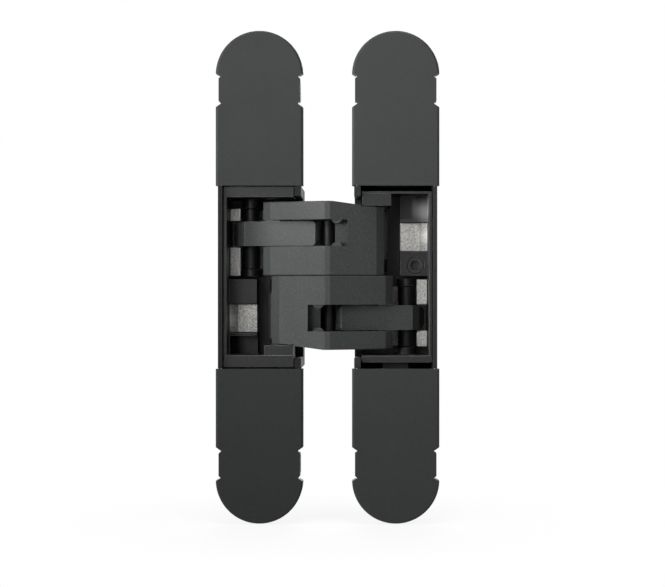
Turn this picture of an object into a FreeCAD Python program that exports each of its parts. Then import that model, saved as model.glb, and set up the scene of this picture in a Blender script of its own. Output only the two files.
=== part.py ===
import FreeCAD, Part
import math
import os
import Sketcher

# Concealed three-way adjustable door hinge, opened flat.
# X runs across the hinge, Z along it, and +Y goes into the door edge, so the faces look along -Y.
# Sizes are measured from the middle of the hinge, in the plane of the two faces.
# The frame half is on the left, the door half on the right; one is the other turned about Y.

doc = FreeCAD.newDocument("ConcealedHinge")
sheet = doc.addObject("Spreadsheet::Sheet", "Sizes")

# Driving dimensions in millimetres
sizes = {
    # outline of one half
    "leaf_centre": 18.525,
    "cover_width": 23.75,
    "cover_gap": 0.1,
    "cover_end": 67.0,
    "cover_front": 0.6,
    "cover_back": 3.6,
    "cover_plate": 1.4,
    "cover_wall": 1.1,
    "cover_round": 0.7,
    # housing
    "body_width": 22.6,
    "body_half": 24.8,
    "body_depth": 28.0,
    "wing_width": 21.0,
    "wing_end": 65.5,
    "wing_front": 1.6,
    "wing_thick": 3.6,
    "neck_end": 27.6,
    "neck_round": 2.0,
    "boss_width": 15.0,
    "boss_end": 37.0,
    "boss_depth": 13.0,
    "pocket_inner": 9.0,
    "side_wall": 1.2,
    "pocket_half": 25.2,
    "pocket_depth": 26.0,
    "notch_half": 22.1,
    "notch_depth": 17.0,
    "screw_hole": 2.6,
    "screw_sink": 2.2,
    "screw_near": 43.0,
    "screw_far": 58.5,
    "adjuster_at": 31.5,
    "adjuster_hole": 3.1,
    "clip_low": 47.4,
    "clip_high": 54.4,
    "clip_notch": 1.4,
    # tab room behind the adjusters
    "room_width": 10.0,
    "room_front": 7.4,
    "room_back": 11.6,
    # pivots of the linkage, measured from the middle and from the face plane
    "arm_pivot_x": 13.16,
    "arm_pivot_y": 10.65,
    "centre_y": 10.12,
    "eye_x": 6.5,
    "eye_y": 8.95,
    "link_pivot_x": 21.8,
    "link_pivot_y": 17.0,
    "arm_pin": 1.9,
    "centre_pin": 1.9,
    "eye_pin": 1.6,
    "link_pin": 2.45,
    "link_pin_end": 1.7,
    "running_fit": 0.06,
    "press_fit": 0.01,
    "eye_slack": 0.3,
    # arms
    "arm_low": 0.54,
    "arm_high": 20.7,
    "lower_rise": 1.0,
    "taper": 1.5,
    "lug_clearance": 0.3,
    "ridge_height": 2.7,
    "ridge_half": 0.7,
    "slot_low": 8.45,
    "slot_high": 15.75,
    "slot_end": 2.0,
    "step_end": 5.4,
    "step_depth": 3.4,
    "bump_x": 2.5,
    "bump_radius": 1.5,
    "bump_height": 1.1,
    "hub_low": 5.2,
    "hub_high": 17.7,
    "hub_radius": 3.3,
    "tine_end": 17.8,
    "tine_bevel": 2.0,
    "shoulder_x": 13.3,
    "roof_fall": 5.6,
    "centre_hub": 3.6,
    "end_corner": 1.5,
    "tip_corner": 1.9,
    "arm_round": 0.35,
    # links
    "link_low": 8.75,
    "link_high": 15.45,
    "link_eye": 4.9,
    "link_tip": 4.3,
    "tip_flat": 2.9,
    "link_front": 5.8,
    "link_fall": 2.94,
    "tip_room": 0.25,
    # carrier
    "carrier_inner": 9.3,
    "carrier_fit": 0.2,
    "carrier_side": 0.8,
    "carrier_front": 1.4,
    "carrier_floor": 22.7,
    "carrier_back": 24.8,
    "right_top_inner": 22.9,
    "right_top_outer": 23.4,
    "right_base_inner": 21.4,
    "right_base_outer": 23.2,
    "left_top_inner": 21.9,
    "left_top_outer": 24.7,
    "left_base_inner": 21.3,
    "left_base_outer": 24.5,
    "pin_wall": 21.4,
    "tall_lug_inner": 9.4,
    "tall_lug_outer": 17.3,
    "tall_lug_front": 1.7,
    "tall_lug_low": 19.6,
    "arm_lug": 3.1,
    "link_lug": 2.6,
    "pad_inner": 19.9,
    "pad_front": 10.7,
    "pad_low": 0.5,
    "pad_high": 7.2,
    "window_high": 15.4,
    "lug_gap": 0.3,
    "lug_foot": 1.3,
    "link_lug_foot": 0.3,
    "link_lug_thick": 2.0,
    "tab_width": 7.0,
    "tab_end": 34.0,
    "tab_front": 8.6,
    "tab_back": 10.4,
    # adjusters
    "cam_offset": 2.2,
    "cam_pin": 0.75,
    "cam_slack": 0.12,
    "disc_radius": 3.0,
    "disc_front": 2.4,
    "disc_back": 7.0,
    "socket_radius": 1.45,
    "socket_depth": 2.2,
    "depth_shank": 1.5,
    "lock_x": 24.2,
    "lock_z": 3.4,
    "lock_radius": 2.4,
    "lock_front": 11.1,
    "lock_back": 19.0,
    # bare zinc wear plate and wedge
    "plate_thick": 0.5,
    "plate_inner": 14.0,
    "land_front": 13.2,
    "land_top": 19.2,
    "land_gap": 0.3,
    "well_front": 15.5,
    "well_rib": 0.8,
    "well_edge": 23.2,
    "well_round": 4.2,
    "wedge_slope": 2.2,
    "wedge_rise": 2.6,
    "wedge_front": 13.6,
    "fit_gap": 0.15,
}

for row, (alias, size) in enumerate(sizes.items(), start=1):
    sheet.set("A%d" % row, alias)
    sheet.set("B%d" % row, str(size))
    sheet.setAlias("B%d" % row, alias)
doc.recompute()


# A size is written as a sum of terms, each a number, an alias or a product of them
def number(text):
    total = 0.0
    sign = 1.0
    for token in text.split():
        if token == "+":
            sign = 1.0
        elif token == "-":
            sign = -1.0
        else:
            product = 1.0
            for factor in token.split("*"):
                product *= float(factor) if factor[0].isdigit() else float(sheet.get(factor))
            total += sign * product
            sign = 1.0
    return total


def minus(text):
    words = text.split()
    if words[0] not in ("+", "-"):
        words.insert(0, "+")
    flipped = {"+": "-", "-": "+"}
    return " ".join(flipped.get(word, word) for word in words)


def bound(text):
    words = []
    for token in text.split():
        if token in ("+", "-"):
            words.append(token)
        else:
            words.append("*".join(f if f[0].isdigit() else "Sizes." + f for f in token.split("*")))
    if words[0] == "+":
        words.pop(0)
    return " ".join(words)


def new_body(label, turned=False):
    body = doc.addObject("PartDesign::Body", "Body_" + label)
    body.Label = label
    if turned:
        body.Placement = FreeCAD.Placement(
            FreeCAD.Vector(), FreeCAD.Rotation(FreeCAD.Vector(0, 1, 0), 180))
    return body


def new_sketch(body, plane, level):
    sketch = body.newObject("Sketcher::SketchObject", "Sketch")
    support = [o for o in body.Origin.OriginFeatures if o.Role == plane][0]
    sketch.AttachmentSupport = [(support, "")]
    sketch.MapMode = "FlatFace"
    sketch.AttachmentOffset = FreeCAD.Placement(
        FreeCAD.Vector(0, 0, number(level)), FreeCAD.Rotation())
    sketch.setExpression("AttachmentOffset.Base.z", bound(level))
    return sketch


def pin_point(sketch, geometry, point, axis, text):
    value = number(text)
    kind = "DistanceX" if axis == 0 else "DistanceY"
    if abs(value) < 1e-9:
        sketch.addConstraint(
            Sketcher.Constraint("PointOnObject", geometry, point, -2 if axis == 0 else -1))
        return
    if value > 0:
        constraint = Sketcher.Constraint(kind, -1, 1, geometry, point, value)
        expression = bound(text)
    else:
        constraint = Sketcher.Constraint(kind, geometry, point, -1, 1, -value)
        expression = "-1*(" + bound(text) + ")"
    index = sketch.addConstraint(constraint)
    sketch.setExpression("Constraints[%d]" % index, expression)


def polygon(sketch, corners):
    points = [FreeCAD.Vector(number(x), number(y), 0) for x, y in corners]
    count = len(points)
    first = sketch.GeometryCount
    for i in range(count):
        sketch.addGeometry(Part.LineSegment(points[i], points[(i + 1) % count]), False)
    for i in range(count):
        sketch.addConstraint(
            Sketcher.Constraint("Coincident", first + i, 2, first + (i + 1) % count, 1))
    for i, (x, y) in enumerate(corners):
        pin_point(sketch, first + i, 1, 0, x)
        pin_point(sketch, first + i, 1, 1, y)


def rectangle(sketch, x_low, x_high, y_low, y_high):
    polygon(sketch, [(x_low, y_low), (x_high, y_low), (x_high, y_high), (x_low, y_high)])


def circle(sketch, x, y, radius):
    centre = FreeCAD.Vector(number(x), number(y), 0)
    index = sketch.addGeometry(
        Part.Circle(centre, FreeCAD.Vector(0, 0, 1), number(radius)), False)
    pin_point(sketch, index, 3, 0, x)
    pin_point(sketch, index, 3, 1, y)
    size = sketch.addConstraint(Sketcher.Constraint("Radius", index, number(radius)))
    sketch.setExpression("Constraints[%d]" % size, bound(radius))


def pad(body, sketch, length, flip=False):
    feature = body.newObject("PartDesign::Pad", "Pad")
    feature.Profile = sketch
    feature.Length = number(length)
    feature.setExpression("Length", bound(length))
    feature.Reversed = flip
    doc.recompute()
    return feature


def cut(body, sketch, length, flip=False):
    before = body.Shape.Volume
    feature = body.newObject("PartDesign::Pocket", "Pocket")
    feature.Profile = sketch
    feature.Length = number(length)
    feature.setExpression("Length", bound(length))
    feature.Reversed = flip
    doc.recompute()
    if body.Shape.Volume > before - 0.001:
        raise RuntimeError("pocket removes nothing in " + body.Label)
    return feature


# Profile across the hinge, extended along Z from a low to a high level
def bar(body, corners, low, high):
    sketch = new_sketch(body, "XY_Plane", low)
    polygon(sketch, corners)
    return pad(body, sketch, high + " " + minus(low))


def rod(body, x, y, radius, low, high):
    sketch = new_sketch(body, "XY_Plane", low)
    circle(sketch, x, y, radius)
    return pad(body, sketch, high + " " + minus(low))


def carve(body, corners, low, high):
    sketch = new_sketch(body, "XY_Plane", low)
    polygon(sketch, corners)
    return cut(body, sketch, high + " " + minus(low), True)


def bore(body, x, y, radius, low, high):
    sketch = new_sketch(body, "XY_Plane", low)
    circle(sketch, x, y, radius)
    return cut(body, sketch, high + " " + minus(low), True)


def box_corners(x_low, x_high, y_low, y_high):
    return [(x_low, y_low), (x_high, y_low), (x_high, y_high), (x_low, y_high)]


# Shapes drawn on the face plane; front and back are depths along +Y
def face_pad(body, draw, front, back):
    sketch = new_sketch(body, "XZ_Plane", minus(front))
    draw(sketch)
    return pad(body, sketch, back + " " + minus(front), True)


def face_cut(body, draw, front, back):
    sketch = new_sketch(body, "XZ_Plane", minus(front))
    draw(sketch)
    return cut(body, sketch, back + " " + minus(front), False)


def dress(body, kind, base, size, chosen):
    names = []
    for index, edge in enumerate(base.Shape.Edges, start=1):
        if chosen(edge):
            names.append("Edge%d" % index)
    feature = body.newObject("PartDesign::" + kind, kind)
    feature.Base = (base, names)
    if kind == "Fillet":
        feature.Radius = number(size)
        feature.setExpression("Radius", bound(size))
    else:
        feature.Size = number(size)
        feature.setExpression("Size", bound(size))
    doc.recompute()
    return feature


# Housing: die-cast pocket with a rounded wing at each end for the screws
def housing(label, turned):
    body = new_body(label, turned)
    inner = "leaf_centre - 0.5*body_width"
    outer = "leaf_centre + 0.5*body_width"
    bar(body, box_corners(inner, outer, "0", "body_depth"), "- body_half", "body_half")
    wing_in = "leaf_centre - 0.5*wing_width"
    wing_out = "leaf_centre + 0.5*wing_width"
    bar(body, box_corners(wing_in, wing_out, "wing_front", "body_depth"), "- neck_end", "neck_end")
    boss_in = "leaf_centre - 0.5*boss_width"
    boss_out = "leaf_centre + 0.5*boss_width"
    bar(body, box_corners(boss_in, boss_out, "wing_front", "boss_depth"), "- boss_end", "boss_end")
    corners = [(number(x), number(z)) for x in (wing_in, wing_out)
               for z in ("neck_end", "- neck_end")]
    corners += [(number(x), number(z)) for x in (boss_in, boss_out)
                for z in ("boss_end", "- boss_end")]
    dress(body, "Fillet", body.Tip, "neck_round", lambda e: any(
        all(abs(v.X - x) < 1e-4 and abs(v.Z - z) < 1e-4 for v in e.Vertexes)
        for x, z in corners))
    straight = "wing_end - 0.5*wing_width"
    wing_back = "wing_front + wing_thick"
    bar(body, box_corners(wing_in, wing_out, "wing_front", wing_back), minus(straight), straight)
    for end in ("wing_end - 0.5*wing_width", "- wing_end + 0.5*wing_width"):
        face_pad(body, lambda s: circle(s, "leaf_centre", end, "0.5*wing_width"),
                 "wing_front", wing_back)
    pocket_outer = outer + " - side_wall"
    carve(body, box_corners("pocket_inner", pocket_outer, "- 1", "pocket_depth"),
          "- pocket_half", "pocket_half")
    carve(body, box_corners("pocket_inner - 4", "pocket_inner + 1", "- 1", "notch_depth"),
          "- notch_half", "notch_half")
    room_in = "leaf_centre - 0.5*room_width"
    room_out = "leaf_centre + 0.5*room_width"
    carve(body, box_corners(room_in, room_out, "room_front", "room_back"),
          "- boss_end + 1.5", "boss_end - 1.5")
    for at in ("screw_near", "screw_far", "- screw_near", "- screw_far"):
        face_cut(body, lambda s: circle(s, "leaf_centre", at, "screw_hole"),
                 "wing_front - 1", "boss_depth + 1")
    for at in ("adjuster_at", "- adjuster_at"):
        face_cut(body, lambda s: circle(s, "leaf_centre", at, "adjuster_hole"),
                 "wing_front - 1", "room_front + 0.5")
    for low, high in (("clip_low", "clip_high"), ("- clip_high", "- clip_low")):
        face_cut(body, lambda s: rectangle(s, wing_in + " - 1", wing_in + " + clip_notch", low, high),
                 "wing_front - 1", "boss_depth")
        face_cut(body, lambda s: rectangle(s, wing_out + " - clip_notch", wing_out + " + 1", low, high),
                 "wing_front - 1", "boss_depth")
    front = number("wing_front")
    hole = number("screw_hole")
    dress(body, "Chamfer", body.Tip, "screw_sink",
          lambda e: e.Curve.TypeId == "Part::GeomCircle" and abs(e.Curve.Radius - hole) < 1e-3
          and abs(e.Curve.Center.y - front) < 1e-3)
    return body


carrier_outer = "leaf_centre + 0.5*body_width - side_wall - carrier_fit"
carrier_face = carrier_outer + " - carrier_side"


# Carrier: the insert that holds the pins and shifts inside the housing
def carrier(label, turned, ends, rise, cam):
    top_inner, top_outer, base_inner, base_outer = ends
    body = new_body(label, turned)
    bar(body, box_corners("carrier_inner", carrier_outer, "carrier_floor", "carrier_back"),
        "- " + base_outer, top_outer)
    for low, high in ((top_inner, top_outer), ("- " + base_outer, "- " + base_inner)):
        bar(body, box_corners("carrier_inner", carrier_outer, "carrier_front", "carrier_back"),
            low, high)
    bar(body, box_corners(carrier_face, carrier_outer, "carrier_front", "carrier_back"),
        "- " + base_outer, top_outer)
    lug_corners = box_corners("arm_pivot_x - arm_lug", "arm_pivot_x + arm_lug",
                              "arm_pivot_y", "carrier_back")
    for low, high in (("lug_foot" + rise, "hub_low - lug_gap" + rise),
                      ("hub_high + lug_gap" + rise, top_inner)):
        bar(body, lug_corners, low, high)
        rod(body, "arm_pivot_x", "arm_pivot_y", "arm_lug", low, high)
    bar(body, box_corners("tall_lug_inner", "tall_lug_outer", "tall_lug_front", "carrier_back"),
        "tall_lug_low" + rise, top_inner)
    pad_corners = box_corners("pad_inner", carrier_outer, "pad_front", "carrier_back")
    for low, high in (("pad_low", "pad_high"), ("window_high", top_inner)):
        bar(body, pad_corners, low, high)
    well_low = "window_high + well_rib"
    carve(body, box_corners("pad_inner - 1", "well_edge", "pad_front - 1", "well_front"),
          well_low, top_inner)
    bore(body, "well_edge", "well_front - well_round", "well_round", well_low, top_inner)
    link_corners = box_corners("link_pivot_x - link_lug", "link_pivot_x + link_lug",
                               "link_pivot_y", "carrier_back")
    foot = "- link_lug_foot - link_lug_thick"
    head = "- pin_wall + link_lug_thick"
    for low, high in ((foot, "- link_lug_foot"), ("- " + base_inner, head)):
        bar(body, link_corners, low, high)
        rod(body, "link_pivot_x", "link_pivot_y", "link_lug", low, high)
    bore(body, "arm_pivot_x", "arm_pivot_y", "arm_pin + press_fit", "lug_foot - 1.5",
         "pin_wall + 0.2")
    bore(body, "link_pivot_x", "link_pivot_y", "link_pin_end + press_fit",
         "- pin_wall + 0.2", "- link_lug_foot + 0.1")
    tab_in = "leaf_centre - 0.5*tab_width"
    tab_out = "leaf_centre + 0.5*tab_width"
    bar(body, box_corners(tab_in, tab_out, "tab_front", "tab_back"),
        "- tab_end", "- " + base_outer + " + 0.5")
    if cam:
        face_cut(body, lambda s: rectangle(
            s, "leaf_centre - cam_offset - cam_pin - 0.2",
            "leaf_centre - cam_offset + cam_pin + 0.6",
            "- adjuster_at - cam_pin - cam_slack", "- adjuster_at + cam_pin + cam_slack"),
            "tab_front - 1", "tab_back + 1")
        face_cut(body, lambda s: circle(s, "lock_x", "lock_z", "lock_radius + running_fit"),
                 "pad_front - 1", "lock_back")
    else:
        face_cut(body, lambda s: circle(s, "leaf_centre", "- adjuster_at",
                                        "depth_shank + running_fit"),
                 "tab_front - 1", "tab_back + 1")
    return body


# Arm: a forked roof-shaped lever that crosses the middle of the hinge
def arm(label, turned, rise):
    body = new_body(label, turned)
    tine_y = "- ridge_height + roof_fall*1.198"
    corners = [
        ("- tine_end", tine_y + " + tine_bevel*1.1"),
        ("- tine_end + tine_bevel", tine_y),
        ("- ridge_half", "- ridge_height"),
        ("ridge_half", "- ridge_height"),
        ("shoulder_x", "- ridge_height + roof_fall"),
        ("shoulder_x + 2.1", "- ridge_height + roof_fall + 2"),
        ("shoulder_x + 1.7", "arm_pivot_y - hub_radius - 0.95"),
        ("arm_pivot_x - 1.2", "arm_pivot_y - hub_radius - 0.75"),
        ("arm_pivot_x - hub_radius - 0.7", "arm_pivot_y - 2.4"),
        ("arm_pivot_x - hub_radius - 1.6", "arm_pivot_y"),
        ("arm_pivot_x - hub_radius - 2.2", "centre_y + 3.1"),
        ("1.5", "centre_y + centre_hub"),
        ("- 2", "centre_y + centre_hub - 0.2"),
        ("- eye_x", "eye_y + 3.2"),
        ("- tine_end + 1.2", "eye_y + 0.3"),
    ]
    low = "arm_low" + rise
    high = "arm_high" + rise
    bar(body, corners, low, high)
    web = [
        ("1.5", "centre_y + centre_hub"),
        ("1.5", "arm_pivot_y - hub_radius - 2"),
        ("arm_pivot_x", "arm_pivot_y - hub_radius - 2"),
        ("arm_pivot_x + hub_radius - 0.9", "arm_pivot_y - hub_radius - 1.2"),
        ("arm_pivot_x + hub_radius", "arm_pivot_y"),
        ("arm_pivot_x", "arm_pivot_y + hub_radius"),
    ]
    bar(body, web, "hub_low" + rise, "hub_high" + rise)
    rod(body, "arm_pivot_x", "arm_pivot_y", "hub_radius", "hub_low" + rise, "hub_high" + rise)
    # the outer edge narrows towards the shoulder and clears the tall lug as the arm swings
    face_cut(body, lambda s: polygon(s, [
        ("ridge_half + 0.4", high), ("shoulder_x", high + " - taper"),
        ("shoulder_x + 4", high + " - taper"), ("shoulder_x + 4", high + " + 1"),
        ("ridge_half + 0.4", high + " + 1")]), "- ridge_height - 1", "centre_y + 6")
    bore(body, "arm_pivot_x", "arm_pivot_y", "arm_pivot_y - tall_lug_front + 1.4",
         "tall_lug_low - lug_clearance" + rise, high + " + 1")
    carve(body, box_corners("- tine_end - 2", "slot_end", "- ridge_height - 2", "centre_y + 6"),
          "slot_low" + rise, "slot_high" + rise)
    carve(body, box_corners("slot_end - 1", "step_end", "- ridge_height - 2", "step_depth"),
          "slot_low" + rise, "slot_high" + rise)
    sleeve = [
        ("- centre_hub", "centre_y"),
        ("slot_end + 0.5", "centre_y"),
        ("slot_end + 0.5", "centre_y + centre_hub - 0.1"),
        ("- 2", "centre_y + centre_hub - 0.2"),
        ("- centre_hub", "centre_y + 0.7*centre_hub"),
    ]
    bar(body, sleeve, "slot_low - 0.2" + rise, "slot_high + 0.2" + rise)
    bore(body, "- eye_x", "eye_y", "link_tip + tip_room", "slot_low" + rise, "slot_high" + rise)
    for at in ("slot_low + bump_height - bump_radius", "slot_high - bump_height + bump_radius"):
        face_pad(body, lambda s: circle(s, "bump_x", at + rise, "bump_radius"),
                 "- 0.9", "step_depth + 0.1")
    bore(body, "0", "centre_y", "centre_pin + running_fit", low + " - 1", high + " + 1")
    bore(body, "arm_pivot_x", "arm_pivot_y", "arm_pin + running_fit", low, high)
    bore(body, "- eye_x", "eye_y", "eye_pin + press_fit", "slot_low - 4" + rise, high + " + 1")
    roof = number("- ridge_height") - 0.01
    deep = number("eye_y") - 1.5

    def roof_edge(edge):
        if edge.Curve.TypeId != "Part::GeomLine":
            return False
        levels = [v.Z for v in edge.Vertexes]
        depths = [v.Y for v in edge.Vertexes]
        flat = abs(levels[0] - levels[1]) < 1e-6
        outside = min(abs(levels[0] - number(low)), abs(levels[0] - number(high))) < 1e-6
        return flat and outside and min(depths) > roof and max(depths) < deep

    dress(body, "Fillet", body.Tip, "arm_round", roof_edge)
    return body


# Link: a lever from the carrier pin to the eye in the fork, with a nearly level front
def link(label, turned, rise):
    body = new_body(label, turned)
    low = "link_low" + rise
    high = "link_high" + rise
    across = number("link_pivot_x - eye_x")
    fall = number("link_pivot_y - eye_y")
    lean = "%.5f" % (fall / math.hypot(across, fall))
    level = "%.5f" % (across / math.hypot(across, fall))
    bar(body, [
        ("- eye_x + tip_flat", "link_front"),
        ("- link_pivot_x - 1.4", "link_front + link_fall"),
        ("- link_pivot_x - 3.4", "link_front + link_fall + 2.2"),
        ("- link_pivot_x - 0.9*link_eye", "link_pivot_y - 0.75*link_eye"),
        ("- link_pivot_x - link_eye", "link_pivot_y"),
        ("- link_pivot_x + %s*link_eye" % lean, "link_pivot_y + %s*link_eye" % level),
        ("- eye_x + %s*link_tip" % lean, "eye_y + %s*link_tip" % level),
    ], low, high)
    rod(body, "- link_pivot_x", "link_pivot_y", "link_eye", low, high)
    rod(body, "- eye_x", "eye_y", "link_tip", low, high)
    carve(body, [
        ("- eye_x + link_tip", "link_front"),
        ("- eye_x + tip_flat", "link_front"),
        ("- link_pivot_x - 1.4", "link_front + link_fall"),
        ("- link_pivot_x - 1.4", "link_front - 4"),
        ("- eye_x + link_tip", "link_front - 4")], low, high)
    outer_end = "- link_pivot_x - link_eye"
    tip_end = "- eye_x + link_tip"
    for edge, way in ((low, "+"), (high, "-")):
        out = "-" if way == "+" else "+"
        face_cut(body, lambda s: polygon(s, [
            (tip_end + " - tip_corner", edge), (tip_end + " + 0.1", edge + " " + way + " tip_corner"),
            (tip_end + " + 1", edge + " " + way + " tip_corner"),
            (tip_end + " + 1", edge + " " + out + " 1"),
            (tip_end + " - tip_corner", edge + " " + out + " 1")]),
            "link_front - 1", "eye_y + 0.5")
        face_cut(body, lambda s: polygon(s, [
            (outer_end + " + end_corner", edge),
            (outer_end + " + 0.3*end_corner", edge + " " + way + " 0.3*end_corner"),
            (outer_end, edge + " " + way + " end_corner"),
            (outer_end + " - 1", edge + " " + way + " end_corner"),
            (outer_end + " - 1", edge + " " + out + " 1"),
            (outer_end + " + end_corner", edge + " " + out + " 1")]),
            "link_front - 1", "link_pivot_y + 6")
    bore(body, "- link_pivot_x", "link_pivot_y", "link_pin + running_fit", low, high)
    bore(body, "- eye_x", "eye_y", "eye_pin + eye_slack", low, high)
    return body


# Clip-on cover: a thin shell over one wing with a clip notch in each long side
def cover(label, left, lower):
    body = doc.addObject("PartDesign::Body", "Body_" + label)
    body.Label = label
    side_in = "leaf_centre - 0.5*cover_width"
    side_out = "leaf_centre + 0.5*cover_width"
    straight = "cover_end - 0.5*cover_width"
    cover_start = "body_half + cover_gap"
    front = "- cover_front"
    face_pad(body, lambda s: rectangle(s, side_in, side_out, cover_start, straight),
             front, "cover_back")
    face_pad(body, lambda s: circle(s, "leaf_centre", straight, "0.5*cover_width"),
             front, "cover_back")
    level = number(front)
    start = number("body_half") + number("cover_gap")
    dress(body, "Fillet", body.Tip, "cover_round",
          lambda e: all(abs(v.Y - level) < 1e-6 for v in e.Vertexes)
          and not all(abs(v.Z - start) < 1e-6 for v in e.Vertexes))
    shell = "- cover_front + cover_plate"
    face_cut(body, lambda s: rectangle(s, side_in + " + cover_wall", side_out + " - cover_wall",
                                       cover_start + " - 1", straight), shell, "cover_back + 1")
    face_cut(body, lambda s: circle(s, "leaf_centre", straight, "0.5*cover_width - cover_wall"),
             shell, "cover_back + 1")
    for side, sign, other in ((side_in, "+", "-"), (side_out, "-", "+")):
        face_cut(body, lambda s: polygon(s, [
            (side + " " + other + " 1", "clip_high + 1"),
            (side + " " + sign + " 0.05", "clip_high + 1"),
            (side + " " + sign + " 1.5", "clip_high + 0.2"),
            (side + " " + sign + " 0.8", "clip_high - 0.4"),
            (side + " " + sign + " 0.8", "clip_low + 0.5"),
            (side + " " + sign + " 1.5", "clip_low - 0.2"),
            (side + " " + sign + " 0.05", "clip_low - 1.2"),
            (side + " " + other + " 1", "clip_low - 1.2"),
        ]), "- cover_front - 1", "cover_back + 1")
    for side, sign in ((side_in, "+"), (side_out, "-")):
        face_pad(body, lambda s: rectangle(s, side + " " + sign + " 0.8",
                                           side + " " + sign + " 2.4",
                                           "clip_low + 1", "clip_high - 1"),
                 shell + " - 0.3", "wing_front + wing_thick + 1")
    across = number("2*leaf_centre")
    if lower:
        body.Placement = FreeCAD.Placement(
            FreeCAD.Vector(0 if left else across, 0, 0),
            FreeCAD.Rotation(FreeCAD.Vector(0, 1, 0), 180))
    elif left:
        body.Placement = FreeCAD.Placement(FreeCAD.Vector(-across, 0, 0), FreeCAD.Rotation())
    doc.recompute()
    return body


# Turned pieces: a cylinder along Z or along Y, in place in the right half
def seat(position, along_y, turned):
    place = FreeCAD.Placement(FreeCAD.Vector(*position), FreeCAD.Rotation())
    if along_y:
        place.Rotation = FreeCAD.Rotation(FreeCAD.Vector(1, 0, 0), -90)
    if turned:
        half = FreeCAD.Placement(
            FreeCAD.Vector(), FreeCAD.Rotation(FreeCAD.Vector(0, 1, 0), 180))
        place = half.multiply(place)
    return place


def cylinder(label, turned, x, y, z, radius, length, along_y=False):
    shaft = doc.addObject("Part::Cylinder", "Cylinder_" + label)
    shaft.Label = label
    shaft.setExpression("Radius", bound(radius))
    shaft.setExpression("Height", bound(length))
    shaft.Placement = seat((number(x), number(y), number(z)), along_y, turned)
    return shaft


def joined(label, pieces):
    whole = doc.addObject("Part::MultiFuse", "Fuse_" + label)
    whole.Shapes = pieces
    whole.Label = label
    return whole


def socketed(label, turned, whole, x, front, z):
    socket = doc.addObject("Part::Prism", "Socket_" + label)
    socket.Polygon = 6
    socket.setExpression("Circumradius", bound("socket_radius"))
    socket.setExpression("Height", bound("socket_depth + 1"))
    socket.Placement = seat((number(x), number(front + " - 1"), number(z)), True, turned)
    finished = doc.addObject("Part::Cut", "Cut_" + label)
    finished.Base = whole
    finished.Tool = socket
    finished.Label = label
    return finished


nodes = []

# Frame half on the left, door half on the right
nodes.append(housing("housing_left", True))
nodes.append(housing("housing_right", False))
right_ends = ("right_top_inner", "right_top_outer", "right_base_inner", "right_base_outer")
left_ends = ("left_base_inner", "left_base_outer", "left_top_inner", "left_top_outer")
lower = " - lower_rise"
nodes.append(carrier("carrier_left", True, left_ends, lower, False))
nodes.append(carrier("carrier_right", False, right_ends, "", True))

# The two forked arms and the two links
nodes.append(arm("arm_upper", False, ""))
nodes.append(arm("arm_lower", True, lower))
nodes.append(link("link_upper", False, ""))
nodes.append(link("link_lower", True, lower))

# Four clip-on covers
nodes.append(cover("cover_right_upper", False, False))
nodes.append(cover("cover_right_lower", False, True))
nodes.append(cover("cover_left_upper", True, False))
nodes.append(cover("cover_left_lower", True, True))

# Steel pins of the seven pivots
for side, turned, rise in (("right", False, ""), ("left", True, lower)):
    nodes.append(cylinder("arm_pin_" + side, turned, "arm_pivot_x", "arm_pivot_y",
                          "lug_foot + 0.2" + rise, "arm_pin", "pin_wall - lug_foot - 0.3"))
    thick_low = "- pin_wall + link_lug_thick + 0.1"
    thick_long = "pin_wall - 2*link_lug_thick - link_lug_foot - 0.2"
    core = cylinder("pin_core_" + side, turned, "link_pivot_x", "link_pivot_y",
                    thick_low, "link_pin", thick_long)
    ends = cylinder("pin_ends_" + side, turned, "link_pivot_x", "link_pivot_y",
                    "- pin_wall + 0.3", "link_pin_end", "pin_wall - link_lug_foot - 0.5")
    nodes.append(joined("link_pin_" + side, [core, ends]))
nodes.append(cylinder("centre_pin", False, "0", "centre_y", "- arm_high + lower_rise + 0.6",
                      "centre_pin", "2*arm_high - lower_rise - 1.2"))
for name, turned, rise in (("eye_pin_upper", False, ""), ("eye_pin_lower", True, lower)):
    nodes.append(cylinder(name, turned, "- eye_x", "eye_y", "slot_low - 3.9" + rise,
                          "eye_pin", "arm_high - slot_low + 3.5"))

# Depth screw of the frame half, captive under its upper cover and threaded into the carrier tab
head = cylinder("depth_head", True, "leaf_centre", "disc_front", "- adjuster_at",
                "disc_radius", "disc_back - disc_front", True)
shank = cylinder("depth_shank_body", True, "leaf_centre", "disc_back - 1", "- adjuster_at",
                 "depth_shank", "room_back - disc_back + 0.9", True)
nodes.append(socketed("depth_screw", True, joined("depth_blank", [head, shank]),
                      "leaf_centre", "disc_front", "- adjuster_at"))

# Height cam of the door half, under its lower cover
disc = cylinder("cam_disc", False, "leaf_centre", "disc_front", "- adjuster_at",
                "disc_radius", "disc_back - disc_front", True)
stub = cylinder("cam_stub", False, "leaf_centre - cam_offset", "disc_back - 1", "- adjuster_at",
                "cam_pin", "tab_back - disc_back + 1", True)
nodes.append(socketed("height_cam", False, joined("cam_blank", [disc, stub]),
                      "leaf_centre", "disc_front", "- adjuster_at"))

# Lock screw in the pad of the door half
lock = cylinder("lock_blank", False, "lock_x", "lock_front", "lock_z",
                "lock_radius", "lock_back - lock_front", True)
nodes.append(socketed("lock_screw", False, lock, "lock_x", "lock_front", "lock_z"))

# Clamp screws that lock the carriers once the door hangs right
for side, turned in (("right", False), ("left", True)):
    blank = cylinder("clamp_blank_" + side, turned, "leaf_centre", "disc_front", "adjuster_at",
                     "disc_radius", "disc_back - disc_front", True)
    nodes.append(socketed("clamp_screw_" + side, turned, blank,
                          "leaf_centre", "disc_front", "adjuster_at"))

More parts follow.
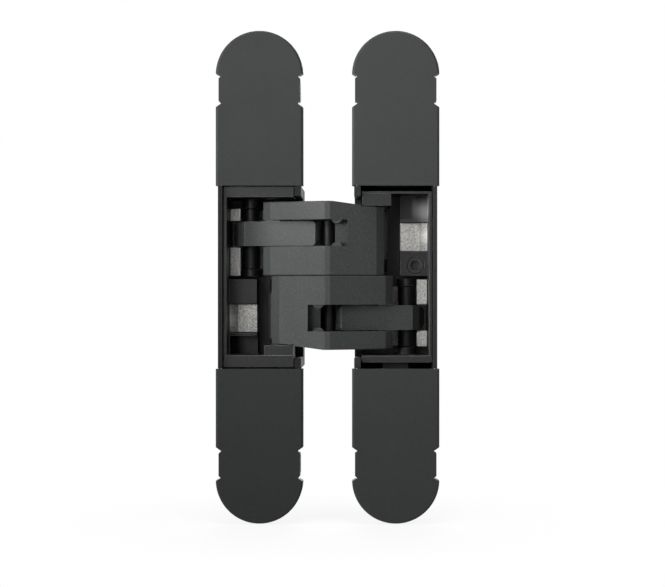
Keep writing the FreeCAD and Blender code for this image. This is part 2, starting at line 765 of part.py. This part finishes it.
# Bare zinc wear plate round each link's outer end and wedge block in each window
for side, turned, rise in (("right", False, " + lower_rise"), ("left", True, "")):
    plate = new_body("wear_plate_" + side, turned)
    plate_front = "carrier_floor - plate_thick"
    plate_outer = carrier_face + " - fit_gap"
    land_inner = "link_pivot_x + link_lug + fit_gap"
    land_foot = "- link_lug_foot - fit_gap"
    bar(plate, box_corners("plate_inner", plate_outer, plate_front, "carrier_floor"),
        "- land_top", "- link_lug_foot - link_lug_thick - fit_gap")
    for low, high in (("- land_top", "- link_high - land_gap" + rise),
                      ("- link_low + land_gap" + rise, land_foot)):
        bar(plate, box_corners(land_inner, plate_outer, "land_front", "carrier_floor"), low, high)
    nodes.append(plate)
    wedge = new_body("wedge_block_" + side, turned)
    wedge_outer = carrier_face + " - fit_gap"
    bar(wedge, [
        ("pad_inner", "wedge_front"),
        (wedge_outer + " - wedge_slope", "wedge_front"),
        (wedge_outer, "wedge_front - wedge_rise"),
        (wedge_outer, "carrier_floor"),
        ("pad_inner", "carrier_floor")], "pad_high + fit_gap", "window_high - fit_gap")
    nodes.append(wedge)

doc.recompute()
for item in doc.Objects:
    if "Invalid" in item.State or "Error" in item.State:
        raise RuntimeError("failed: " + item.Name + " " + item.Label)
for node in nodes:
    if node.Shape.isNull() or not node.Shape.isValid():
        raise RuntimeError("bad shape: " + node.Label)

# The finished part is measured from the middle of the frame half's screws, at the back of its wings
origin = FreeCAD.Vector(number("leaf_centre"), -number("wing_front + wing_thick"), 0)
os.makedirs("parts", exist_ok=True)
for node in nodes:
    shape = node.Shape.copy()
    shape.translate(origin)
    shape.exportStep("parts/" + node.Label + ".step")
    box = shape.optimalBoundingBox()
    print(node.Label, len(shape.Solids), round(shape.Volume, 1),
          [round(v, 1) for v in (box.XMin, box.XMax, box.YMin, box.YMax, box.ZMin, box.ZMax)])
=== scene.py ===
import math
import bmesh
import bpy
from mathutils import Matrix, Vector


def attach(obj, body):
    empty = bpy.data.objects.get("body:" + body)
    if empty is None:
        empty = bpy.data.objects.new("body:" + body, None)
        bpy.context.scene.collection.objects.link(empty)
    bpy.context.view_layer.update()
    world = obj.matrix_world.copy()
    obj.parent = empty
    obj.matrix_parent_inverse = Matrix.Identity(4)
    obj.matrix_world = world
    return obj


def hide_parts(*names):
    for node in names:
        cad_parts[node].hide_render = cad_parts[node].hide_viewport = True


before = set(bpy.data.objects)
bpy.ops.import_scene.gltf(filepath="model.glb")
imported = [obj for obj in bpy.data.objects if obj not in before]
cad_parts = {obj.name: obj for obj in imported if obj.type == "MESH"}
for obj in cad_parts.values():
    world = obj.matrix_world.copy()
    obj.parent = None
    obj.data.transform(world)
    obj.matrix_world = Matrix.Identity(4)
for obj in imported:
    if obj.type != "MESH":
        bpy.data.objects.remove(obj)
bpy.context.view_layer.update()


# Housings: two die-cast zinc boxes, one let into the frame and one into the door.
# Each is cast in one piece with its round-ended wings, blasted and coated black,
# which leaves a dull skin with a faint orange peel; its thin edges are painted paler as a highlight.
def linear(hex_colour):
    channels = [int(hex_colour[i:i + 2], 16) / 255 for i in (1, 3, 5)]
    return [c / 12.92 if c <= 0.04045 else ((c + 0.055) / 1.055) ** 2.4 for c in channels] + [1]


def add_node(tree, kind, settings=None, inputs=None, links=None):
    node = tree.nodes.new(kind)
    for name, value in (settings or {}).items():
        setattr(node, name, value)
    for name, value in (inputs or {}).items():
        node.inputs[name].default_value = value
    for name, output in (links or {}).items():
        tree.links.new(output, node.inputs[name])
    return node


# A finish: two tones of one colour in grains of a real size, a relief of the same
# grains, and a slow cloud of duller and shinier patches. Grains of under 0.2 mm on
# the real hinge are drawn 0.22 to 0.7 mm wide, as finer ones would be lost here.
def coated(name, colour, pale, rough, grain_mm, depth_mm, gloss, metallic=0.0):
    cloud_mm = 14
    material = bpy.data.materials.new(name)
    material.use_nodes = True
    tree = material.node_tree
    shader = tree.nodes["Principled BSDF"]
    place = add_node(tree, "ShaderNodeTexCoord").outputs["Object"]
    grain = add_node(tree, "ShaderNodeTexNoise", None,
                     {"Scale": 1000 / grain_mm, "Detail": 3.0, "Roughness": 0.6},
                     {"Vector": place}).outputs["Fac"]
    cloud = add_node(tree, "ShaderNodeTexNoise", None,
                     {"Scale": 1000 / cloud_mm, "Detail": 3.0}, {"Vector": place}).outputs["Fac"]
    speckle = add_node(tree, "ShaderNodeMapRange", None,
                       {"From Min": 0.35, "From Max": 0.7, "To Min": 0.0, "To Max": 1.0},
                       {"Value": grain}).outputs["Result"]
    tint = add_node(tree, "ShaderNodeMix", {"data_type": "RGBA"},
                    {6: linear(colour), 7: linear(pale)}, {0: speckle}).outputs[2]
    tree.links.new(tint, shader.inputs["Base Color"])
    polish = add_node(tree, "ShaderNodeMapRange", None,
                      {"From Min": 0.3, "From Max": 0.7,
                       "To Min": rough - 0.06, "To Max": rough + 0.08},
                      {"Value": cloud}).outputs["Result"]
    tree.links.new(polish, shader.inputs["Roughness"])
    relief = add_node(tree, "ShaderNodeBump", None,
                      {"Strength": 0.6, "Distance": depth_mm / 1000},
                      {"Height": grain}).outputs["Normal"]
    tree.links.new(relief, shader.inputs["Normal"])
    shader.inputs["Metallic"].default_value = metallic
    shader.inputs["Specular IOR Level"].default_value = gloss
    return material


# A solid dressed: its edges are rounded as blasting and tumbling leave them, and
# the rounds, with faces narrower than narrow_mm, take the second material, a paler
# colour painted on as a highlight.
def eased(node, body, material, edge_highlight_material, width_mm, narrow_mm=0.0):
    merge_mm = 0.002
    flat_degrees = 0.5
    crease_degrees = 8
    round_degrees = 28
    strip_mm = 1.25
    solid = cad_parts[node]
    mesh = solid.data.copy()
    piece = bpy.data.objects.new(node + "_eased", mesh)
    bpy.context.scene.collection.objects.link(piece)
    shape = bmesh.new()
    shape.from_mesh(mesh)
    bmesh.ops.remove_doubles(shape, verts=shape.verts, dist=merge_mm / 1000)
    bmesh.ops.dissolve_limit(shape, angle_limit=math.radians(flat_degrees), verts=shape.verts,
                             edges=shape.edges)
    for face in shape.faces:
        face.smooth = True
        longest = max(edge.calc_length() for edge in face.edges)
        face.material_index = 1 if face.calc_area() / longest < narrow_mm / 1000 else 0
    for edge in shape.edges:
        if len(edge.link_faces) == 2 and edge.calc_face_angle() > math.radians(crease_degrees):
            widths = [face.calc_area() / edge.calc_length() for face in edge.link_faces]
            edge.smooth = min(widths) < strip_mm / 1000
    shape.to_mesh(mesh)
    shape.free()
    mesh.materials.clear()
    mesh.materials.append(material)
    mesh.materials.append(edge_highlight_material)
    bevel = piece.modifiers.new("Bevel", "BEVEL")
    bevel.width = width_mm / 1000
    bevel.segments = 2
    # the bevel faces take the paler colour painted on as an edge highlight
    bevel.material = 1
    bevel.limit_method = "ANGLE"
    bevel.angle_limit = math.radians(round_degrees)
    even = piece.modifiers.new("Even", "WEIGHTED_NORMAL")
    even.keep_sharp = True
    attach(piece, body)
    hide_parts(node)
    return piece


# The one in the door is painted a little paler, and its rim far paler, as painted light; the one in the
# frame is painted darker, as in shade.
for node, body, colour, pale, rim, gloss in (
        ("housing_left", "frame_half", "#121313", "#1b1c1c", "#161717", 0.05),
        ("housing_right", "door_half", "#202121", "#2a2b2b", "#505150", 0.25)):
    housing_coat = coated("Black coated zinc casting", colour, pale, 0.45, 0.5, 0.01, 0.12)
    # Housing rims: a paler colour painted on as a highlight, far paler on the door housing.
    housing_edge_highlight = coated("Black coated zinc, painted edge highlight", rim, rim, 0.4, 0.5, 0.01, gloss)
    eased(node, body, housing_coat, housing_edge_highlight, 0.15)

# Carriers: the smaller castings that slide inside the housings and hold the pins.
# They are cast zinc too, dipped in a thin black coat that leaves them smooth and
# a shade darker than the arms, and they are slid in from the front.


# A patch of painted light, paler in its middle and fading out at its reach. The door
# carrier has one on the wall beside its upper well.
def painted_light_patch(material, colour, x_mm, z_mm, reach_mm):
    depth_share = 0.3
    depth_mm = 12
    tree = material.node_tree
    base = tree.nodes["Principled BSDF"].inputs["Base Color"]
    place = add_node(tree, "ShaderNodeTexCoord").outputs["Object"]
    flat = add_node(tree, "ShaderNodeVectorMath", {"operation": "MULTIPLY"},
                    {1: (1, depth_share, 1)}, {0: place}).outputs[0]
    middle = (x_mm / 1000, depth_share * depth_mm / 1000, z_mm / 1000)
    away = add_node(tree, "ShaderNodeVectorMath", {"operation": "DISTANCE"},
                    {1: middle}, {0: flat}).outputs["Value"]
    share = add_node(tree, "ShaderNodeMapRange", {"interpolation_type": "SMOOTHSTEP"},
                     {"From Min": 0.2 * reach_mm / 1000, "From Max": reach_mm / 1000,
                      "To Min": 1.0, "To Max": 0.0}, {"Value": away}).outputs["Result"]
    tint = add_node(tree, "ShaderNodeMix", {"data_type": "RGBA"}, {7: linear(colour)},
                    {0: share, 6: base.links[0].from_socket}).outputs[2]
    tree.links.new(tint, base)


# Carrier edges and rounds: a paler colour painted on as a highlight.
carrier_edge_highlight = coated("Black dipped zinc, painted edge highlight", "#525453", "#747675", 0.36, 0.7, 0.006,
                      0.5)
for node, body in (("carrier_left", "frame_carrier"), ("carrier_right", "door_carrier")):
    carrier_coat = coated("Black dipped zinc casting", "#151616", "#1f2020", 0.42, 0.7, 0.006, 0.25)
    if node == "carrier_right":
        # A pool of painted light on the wall beside the upper well.
        painted_light_patch(carrier_coat, "#a6a7a6", 46.2, 18.9, 5.2)
    eased(node, body, carrier_coat, carrier_edge_highlight, 0.2)

# Arms and links: two forked arms that cross at the middle and a link in each fork.
# They are sintered steel, powder coated charcoal with a fine dry texture, so that
# each flat shows as one even grey, with a paler line painted along the edges as a
# highlight. The lower arm and lower link are painted darker, as shade, and the upper
# link paler, as light.
arm_coat = coated("Charcoal textured powder coat", "#333534", "#484a49", 0.6, 0.28, 0.03, 0.22)
# Arm and link edges and rounds: a paler colour painted on as a highlight.
arm_edge_highlight = coated("Charcoal powder coat, painted edge highlight", "#8f9190", "#b5b7b6", 0.5, 0.28, 0.02,
                  0.4)
# Lower arm and lower link: the same coat painted darker, as shade below.
lower_shaded_coat = coated("Charcoal powder coat, painted shade below", "#303231", "#444645", 0.6, 0.28, 0.03, 0.22)
# Upper link: the same coat painted paler, as light on it deep in its fork.
upper_link_lit_coat = coated("Charcoal powder coat, painted light on the upper link", "#4e504f", "#626463", 0.6, 0.28, 0.03, 0.22)
for node, body, coat, width_mm in (("arm_upper", "upper_arm", arm_coat, 0.28),
                                   ("arm_lower", "lower_arm", lower_shaded_coat, 0.28),
                                   ("link_upper", "upper_link", upper_link_lit_coat, 0.3),
                                   ("link_lower", "lower_link", lower_shaded_coat, 0.3)):
    eased(node, body, coat, arm_edge_highlight, width_mm, 0.45)

# Washers: four thin rings of black nylon on the eye pins, one each side of a link.
# They are punched from sheet, dull and even, and fill the play between the link
# and its fork, so that no light comes through beside the link.
nylon = coated("Black punched nylon sheet", "#101111", "#161717", 0.6, 0.5, 0.004, 0.2)
bore_mm = 1.65
rim_mm = 3.4
sheet_mm = 0.26
eye_depth_mm = 3.75
for name, body, x_mm, z_mm in (("washer_upper_low", "upper_arm", 12.025, 8.47),
                               ("washer_upper_high", "upper_arm", 12.025, 15.47),
                               ("washer_lower_high", "lower_arm", 25.025, -7.73),
                               ("washer_lower_low", "lower_arm", 25.025, -14.73)):
    ring = bmesh.new()
    middle = Vector((x_mm, eye_depth_mm, z_mm)) / 1000
    corners = [ring.verts.new(middle + Vector((radius, 0, level)) / 1000)
               for radius, level in ((bore_mm, 0), (rim_mm, 0), (rim_mm, sheet_mm),
                                     (bore_mm, sheet_mm))]
    section = [ring.edges.new(pair) for pair in zip(corners, corners[1:] + corners[:1])]
    bmesh.ops.spin(ring, geom=corners + section, cent=middle, axis=(0, 0, 1),
                   angle=2 * math.pi, steps=48, use_merge=True)
    bmesh.ops.recalc_face_normals(ring, faces=ring.faces)
    mesh = bpy.data.meshes.new(name)
    ring.to_mesh(mesh)
    ring.free()
    mesh.materials.append(nylon)
    washer = bpy.data.objects.new(name, mesh)
    bpy.context.scene.collection.objects.link(washer)
    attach(washer, body)

# Pins: ground steel rods, blackened and oiled, pressed into the carriers and arms.
# What shows of them is smooth, dark and glossy along the length.
pin_steel = coated("Blackened ground steel", "#131313", "#1b1b1b", 0.48, 0.4, 0.002, 0.3, 0.3)
for node, body in (("link_pin_left", "frame_carrier"), ("link_pin_right", "door_carrier"),
                   ("arm_pin_left", "frame_carrier"), ("arm_pin_right", "door_carrier"),
                   ("centre_pin", "lower_arm"), ("eye_pin_upper", "upper_arm"),
                   ("eye_pin_lower", "lower_arm")):
    eased(node, body, pin_steel, pin_steel, 0.2)

# Screws: hexagon socket adjusters and clamp screws of blackened steel, turned and
# broached, run into the housings and the carrier pad. They are glossier than the
# castings, with a paler rim painted on as a highlight; the cam's own rim is left sharp.
screw_steel = coated("Blackened steel screws", "#1b1b1c", "#262627", 0.38, 0.4, 0.004, 0.5, 0.6)
# Screw rims: a paler colour painted on as a highlight.
screw_edge_highlight = coated("Blackened steel, painted rim highlight", "#4c4c4c", "#666666", 0.34, 0.4, 0.004, 0.5, 0.6)
for node, body, width_mm in (("depth_screw", "frame_depth_screw", 0.18),
                             ("height_cam", "door_height_cam", 0.04),
                             ("lock_screw", "door_carrier", 0.18),
                             ("clamp_screw_left", "frame_half", 0.18),
                             ("clamp_screw_right", "door_half", 0.18)):
    eased(node, body, screw_steel, screw_edge_highlight, width_mm)

# Wear plates and wedge blocks: bare zinc left as cast, pale and sandy, so that its
# grains catch the light one by one. They are dropped into the carriers behind the
# links and in the square windows. Each wedge has a pale patch painted on its outboard
# slope as a highlight.
# Patches of painted highlight on the wedges' outboard slopes.
wedge_painted_highlights = {"wedge_block_right": (46.4, 11.6), "wedge_block_left": (-9.6, -11.6)}
for node, body, colour in (("wear_plate_left", "frame_carrier", "#989896"),
                           ("wear_plate_right", "door_carrier", "#8d8d8b"),
                           ("wedge_block_left", "frame_carrier", "#8b8b89"),
                           ("wedge_block_right", "door_carrier", "#90908e")):
    bare_zinc = coated("Bare sandy zinc", colour, "#d6d4d0", 0.55, 0.5, 0.035, 0.5, 0.5)
    if node in wedge_painted_highlights:
        painted_light_patch(bare_zinc, "#fbfaf6", *wedge_painted_highlights[node], 3.6)
    eased(node, body, bare_zinc, bare_zinc, 0.15)

# Covers: four thin caps moulded in charcoal plastic with a fine matt texture, each
# clipped over a wing by a clip tab in the notch of either long side. Their faces
# show as plain, even greys, a little shinier along the moulded edge, where a paler
# colour is painted on as a highlight. The upper covers are painted paler than the
# lower ones and the right ones paler than the left, as painted light and shade.
# Cover edges: a paler colour painted on as a highlight.
cover_edge_highlight = coated("Charcoal moulded cover, painted edge highlight", "#3e403f", "#484a49", 0.4, 0.22, 0.006, 0.4)
# Upper covers painted paler than lower ones, right ones paler than left: painted light and shade.
for node, body, colour, pale in (("cover_left_upper", "frame_cover_upper", "#292b2a", "#303231"),
                                 ("cover_left_lower", "frame_cover_lower", "#242625", "#2b2d2c"),
                                 ("cover_right_upper", "door_cover_upper", "#2d2f2e", "#343635"),
                                 ("cover_right_lower", "door_cover_lower", "#2b2d2c", "#323433")):
    cover_skin = coated("Charcoal matt moulded cover", colour, pale, 0.5, 0.22, 0.006, 0.16)
    eased(node, body, cover_skin, cover_edge_highlight, 0.15)

# Setting: a white card floor that the covers stand on, in a white studio with a soft
# key lamp from the left, a weak fill beside the camera and weak top and back lamps.
floor_size = 3.0
floor_level = -0.0671
floor_middle = 0.0185
floor_shape = bmesh.new()
bmesh.ops.create_grid(floor_shape, x_segments=1, y_segments=1, size=floor_size)
bmesh.ops.translate(floor_shape, verts=floor_shape.verts, vec=(floor_middle, 0, floor_level))
floor_mesh = bpy.data.meshes.new("card_floor")
floor_shape.to_mesh(floor_mesh)
floor_shape.free()
floor = bpy.data.objects.new("card_floor", floor_mesh)
bpy.context.scene.collection.objects.link(floor)
card = bpy.data.materials.new("White card")
card.use_nodes = True
tree = card.node_tree
paper = tree.nodes["Principled BSDF"]
paper.inputs["Base Color"].default_value = linear("#ececec")
paper.inputs["Roughness"].default_value = 0.9
white = add_node(tree, "ShaderNodeEmission", None, {"Color": (1, 1, 1, 1), "Strength": 1.0})
place = add_node(tree, "ShaderNodeTexCoord").outputs["Object"]
middle = add_node(tree, "ShaderNodeVectorMath", {"operation": "DISTANCE"},
                  {1: (floor_middle, 0.01, floor_level)}, {0: place}).outputs["Value"]
far = add_node(tree, "ShaderNodeMapRange", {"interpolation_type": "SMOOTHSTEP"},
               {"From Min": 0.02, "From Max": 0.1, "To Min": 0.86, "To Max": 1.0},
               {"Value": middle}).outputs["Result"]
rays = add_node(tree, "ShaderNodeLightPath")
seen = add_node(tree, "ShaderNodeMath", {"operation": "MAXIMUM"}, None,
                {0: rays.outputs["Is Camera Ray"], 1: rays.outputs["Is Glossy Ray"]})
seen = add_node(tree, "ShaderNodeMath", {"operation": "MAXIMUM"}, None,
                {0: seen.outputs[0], 1: rays.outputs["Is Transmission Ray"]})
share = add_node(tree, "ShaderNodeMath", {"operation": "MULTIPLY"}, None,
                 {0: seen.outputs[0], 1: far})
mixed = add_node(tree, "ShaderNodeMixShader", None, None,
                 {0: share.outputs[0], 1: paper.outputs[0], 2: white.outputs[0]})
tree.links.new(mixed.outputs[0], tree.nodes["Material Output"].inputs["Surface"])
floor_mesh.materials.append(card)

for name, place, size, power, spread, aim in (
        ("soft_key", (-0.32, -0.27, 0.07), 0.2, 0.25, 44, (0.09, 0, 0.095)),
        ("soft_fill", (-0.14, -0.48, 0.12), 0.2, 0.1, 44, (0.05, 0, 0.09)),
        ("soft_top", (0.03, -0.08, 0.4), 0.2, 0.18, 60, (0.02, 0, 0.03)),
        ("soft_back", (0.0185, 0.5, 0.25), 0.3, 0.6, 90, (0.0185, 0, 0))):
    lamp = bpy.data.lights.new(name, "AREA")
    lamp.size = size
    lamp.spread = math.radians(spread)
    lamp.energy = power
    source = bpy.data.objects.new(name, lamp)
    source.location = place
    source.rotation_euler = (Vector(aim) - Vector(place)).to_track_quat("-Z", "Y").to_euler()
    bpy.context.scene.collection.objects.link(source)

world = bpy.data.worlds.new("studio")
bpy.context.scene.world = world
world.use_nodes = True
tree = world.node_tree
tree.nodes["Background"].inputs["Color"].default_value = (1, 1, 1, 1)
tree.nodes["Background"].inputs["Strength"].default_value = 0.06
backdrop = add_node(tree, "ShaderNodeBackground", None, {"Color": (1, 1, 1, 1), "Strength": 1.0})
rays = add_node(tree, "ShaderNodeLightPath")
seen = add_node(tree, "ShaderNodeMath", {"operation": "MAXIMUM"}, None,
                {0: rays.outputs["Is Camera Ray"], 1: rays.outputs["Is Glossy Ray"]})
seen = add_node(tree, "ShaderNodeMath", {"operation": "MAXIMUM"}, None,
                {0: seen.outputs[0], 1: rays.outputs["Is Transmission Ray"]})
mixed = add_node(tree, "ShaderNodeMixShader", None, None,
                 {0: seen.outputs[0], 1: tree.nodes["Background"].outputs[0], 2: backdrop.outputs[0]})
tree.links.new(mixed.outputs[0], tree.nodes["World Output"].inputs["Surface"])

# Camera: square to the faces, a little right of the middle, as in the photograph.
distance = 0.5
metres_per_pixel = 0.0002715
width_pixels = 665
right_pixels = 5.0
down_pixels = 16.3
offset = 0.012
hinge_middle = 0.018525
cover_faces = -0.0058
view_width = width_pixels * metres_per_pixel
lens = bpy.data.cameras.new("camera")
lens.sensor_width = 36
lens.lens = lens.sensor_width * distance / view_width
lens.shift_x = (right_pixels * metres_per_pixel - offset) / view_width
lens.clip_start = 0.01
camera = bpy.data.objects.new("camera", lens)
camera.location = (hinge_middle + offset, cover_faces - distance, -down_pixels * metres_per_pixel)
camera.rotation_euler = (math.radians(90), 0, 0)
bpy.context.scene.collection.objects.link(camera)
bpy.context.scene.camera = camera

bpy.context.scene.view_settings.view_transform = "Standard"
